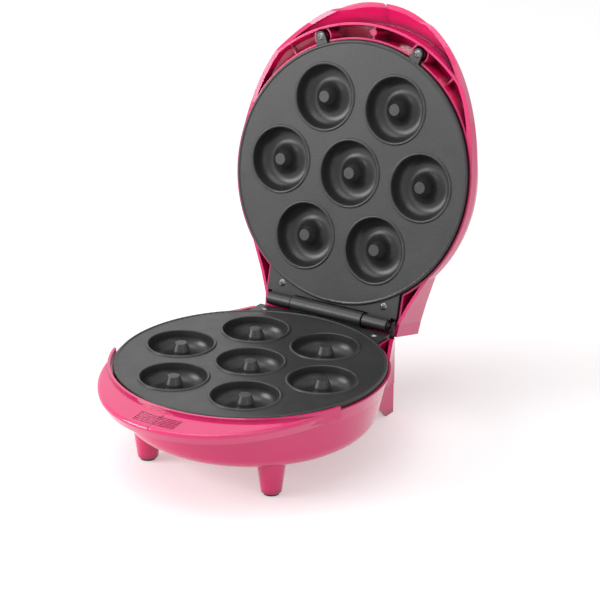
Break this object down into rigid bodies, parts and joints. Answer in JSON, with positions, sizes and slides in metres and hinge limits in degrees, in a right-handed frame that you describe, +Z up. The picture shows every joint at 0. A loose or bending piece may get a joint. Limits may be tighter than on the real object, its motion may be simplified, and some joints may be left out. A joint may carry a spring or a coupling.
{
  "type": "electric donut maker",
  "caption": "Countertop donut maker with a hinged lid, standing open: pink moulded base and lid with two dark cast plates of ring-shaped cavities, front grip lips and feet.",
  "frame": {"origin": "centre of the bounding box's bottom face, on the ground that the feet stand on", "axes": "+X along the hinge to the right seen from the front, +Y to the back, +Z up"},
  "size_m": [0.2028, 0.3154, 0.2934],
  "materials": {
    "pink_housing": "gloss",
    "plate_coating": "satin",
    "bright_steel": "bright",
    "heater_sheath": "oxidised",
    "sheet_metal": "rolled",
    "dark_plastic": "matte",
    "ceramic": "matte",
    "dark_rubber": "matte",
    "lead_sleeving": "matte",
    "red_lens": "gloss",
    "green_lens": "gloss",
    "clear_glass": "clear"
  },
  "bodies": {
    "base": {"base_shell": "pink_housing", "base_plate": "plate_coating", "base_heater": "heater_sheath", "base_heater_clamp_1": "bright_steel", "base_heater_clamp_2": "bright_steel", "base_heater_clamp_3": "bright_steel", "base_small_screws": "bright_steel", "base_reflector": "sheet_metal", "thermostat": "dark_plastic", "thermostat_bracket": "bright_steel", "thermal_fuse": "bright_steel", "fuse_clip": "bright_steel", "earth_tag": "bright_steel", "terminal_block": "ceramic", "cord_gland": "dark_rubber", "base_leads": "lead_sleeving", "hinge_lead_sleeve": "dark_rubber", "foot_pad_left": "dark_rubber", "foot_pad_right": "dark_rubber", "base_plate_screws": "bright_steel", "base_case_screws": "bright_steel", "hinge_pin": "bright_steel", "hinge_clip_left": "bright_steel", "hinge_clip_right": "bright_steel"},
    "lid": {"lid_shell": "pink_housing", "lid_plate": "plate_coating", "lid_heater": "heater_sheath", "lid_heater_clamp_1": "bright_steel", "lid_heater_clamp_2": "bright_steel", "lid_heater_clamp_3": "bright_steel", "lid_small_screws": "bright_steel", "lid_reflector": "sheet_metal", "lid_plate_screws": "bright_steel", "power_lamp_lens": "red_lens", "ready_lamp_lens": "green_lens", "power_lamp": "clear_glass", "ready_lamp": "clear_glass", "lamp_holder": "dark_plastic", "lid_leads": "lead_sleeving"}
  },
  "joints": [
    {"name": "lid_hinge", "type": "hinge", "parent": "base", "child": "lid", "pos_m": [0, 0.07551, 0.07205], "axis": [1, 0, 0], "range_deg": [0, 104.58]}
  ]
}
